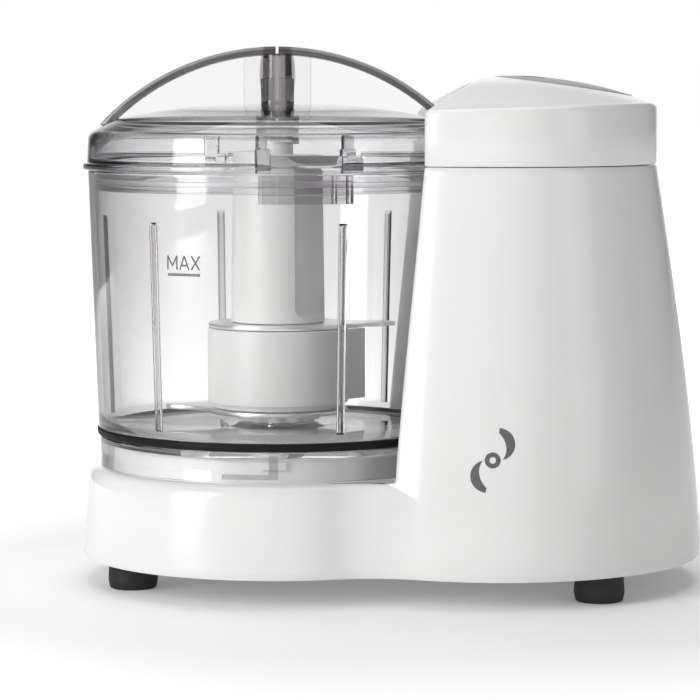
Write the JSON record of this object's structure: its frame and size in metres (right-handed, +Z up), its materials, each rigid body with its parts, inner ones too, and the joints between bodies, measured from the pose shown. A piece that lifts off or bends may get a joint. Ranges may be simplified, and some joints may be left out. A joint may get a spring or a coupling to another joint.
{
  "type": "mini food processor",
  "caption": "Compact electric chopper: white base with a motor tower and pulse button, clear bowl and arch-handled lid, and a blade hub on a belt-driven spindle.",
  "frame": {"origin": "centre of the footprint, on the surface that the feet stand on", "axes": "+Z up, +X from the bowl towards the motor tower, -Y the front"},
  "size_m": [0.228, 0.152, 0.1961],
  "materials": {
    "white_plastic": "glossy white moulded plastic",
    "clear_plastic": "clear moulded plastic with a faint grey tint",
    "grey_plastic": "satin light grey moulded plastic",
    "dark_plastic": "fine matt dark plastic",
    "off_white_plastic": "satin off-white moulded plastic",
    "natural_nylon": "unpigmented nylon",
    "black_rubber": "matt black rubber",
    "blade_steel": "ground stainless steel",
    "plain_steel": "plated steel",
    "laminated_steel": "stacked steel laminations",
    "copper": "enamelled copper wire and copper bars",
    "bronze": "sintered bronze",
    "carbon": "pressed carbon"
  },
  "bodies": {
    "base": {"base_housing": "white_plastic", "bottom_cover": "white_plastic", "foot_front_left": "black_rubber", "foot_rear_left": "black_rubber", "foot_front_right": "black_rubber", "foot_rear_right": "black_rubber", "cover_screw_1": "plain_steel", "cover_screw_2": "plain_steel", "cover_screw_3": "plain_steel", "cover_screw_4": "plain_steel", "cord_gland": "black_rubber", "tower_cap": "white_plastic", "button_spring": "plain_steel", "switch_bracket": "natural_nylon", "pulse_switch": "dark_plastic", "interlock_switch": "dark_plastic", "spindle_bush": "bronze", "spindle_seal": "black_rubber", "drive_belt": "black_rubber", "motor_cradle": "natural_nylon", "stator_core": "laminated_steel", "field_coil_front": "copper", "field_coil_rear": "copper", "lower_end_bracket": "plain_steel", "upper_end_bracket": "plain_steel", "lower_bearing": "plain_steel", "upper_bearing": "plain_steel", "brush_holder_front": "natural_nylon", "brush_holder_rear": "natural_nylon", "carbon_brush_front": "carbon", "carbon_brush_rear": "carbon"},
    "button": {"pulse_button": "grey_plastic", "button_inlay": "dark_plastic"},
    "plunger": {"interlock_plunger": "natural_nylon"},
    "rotor": {"motor_shaft": "plain_steel", "motor_pulley": "natural_nylon", "armature_core": "laminated_steel", "armature_winding_lower": "copper", "armature_winding_upper": "copper", "commutator": "copper", "cooling_fan": "dark_plastic"},
    "drive_spindle": {"spindle": "plain_steel", "drive_coupling": "dark_plastic", "driven_pulley": "natural_nylon"},
    "bowl_carrier": {"bowl_ring": "black_rubber"},
    "bowl": {"bowl": "clear_plastic"},
    "lid_carrier": {"lid_seal": "natural_nylon"},
    "lid": {"lid": "clear_plastic"},
    "blade_unit": {"blade_hub": "off_white_plastic", "upper_blade": "blade_steel", "lower_blade": "blade_steel"}
  },
  "joints": [
    {"name": "button_press", "type": "slide", "parent": "base", "child": "button", "axis": [0, 0, -1], "range_m": [0, 0.003], "stiffness_N_per_m": 1200, "springref_m": -0.0015, "deforming": ["button_spring"]},
    {"name": "motor_spin", "type": "hinge", "parent": "base", "child": "rotor", "pos_m": [0.0645, 0, 0.08], "axis": [0, 0, 1], "continuous": true},
    {"name": "spindle_spin", "type": "hinge", "parent": "base", "child": "drive_spindle", "pos_m": [-0.042, 0, 0.05], "axis": [0, 0, 1], "continuous": true},
    {"name": "blade_spin", "type": "hinge", "parent": "bowl_carrier", "child": "blade_unit", "pos_m": [-0.042, 0, 0.1], "axis": [0, 0, 1], "continuous": true},
    {"name": "bowl_lift", "type": "slide", "parent": "base", "child": "bowl_carrier", "axis": [0, 0, 1], "range_m": [0, 0.08]},
    {"name": "bowl_twist", "type": "hinge", "parent": "bowl_carrier", "child": "bowl", "pos_m": [-0.042, 0, 0.05], "axis": [0, 0, 1], "range_deg": [-25, 0]},
    {"name": "lid_lift", "type": "slide", "parent": "bowl", "child": "lid_carrier", "axis": [0, 0, 1], "range_m": [0, 0.06]},
    {"name": "lid_twist", "type": "hinge", "parent": "lid_carrier", "child": "lid", "pos_m": [-0.042, 0, 0.15], "axis": [0, 0, 1], "range_deg": [-15, 0]},
    {"name": "interlock_slide", "type": "slide", "parent": "base", "child": "plunger", "axis": [1, 0, 0], "range_m": [-0.0013, 0]}
  ],
  "couplings": [
    {"joint": "spindle_spin", "follows": "motor_spin", "ratio": 0.31818},
    {"joint": "blade_spin", "follows": "motor_spin", "ratio": 0.31818},
    {"joint": "interlock_slide", "follows": "lid_twist", "m_per_rad": 0.004584}
  ]
}
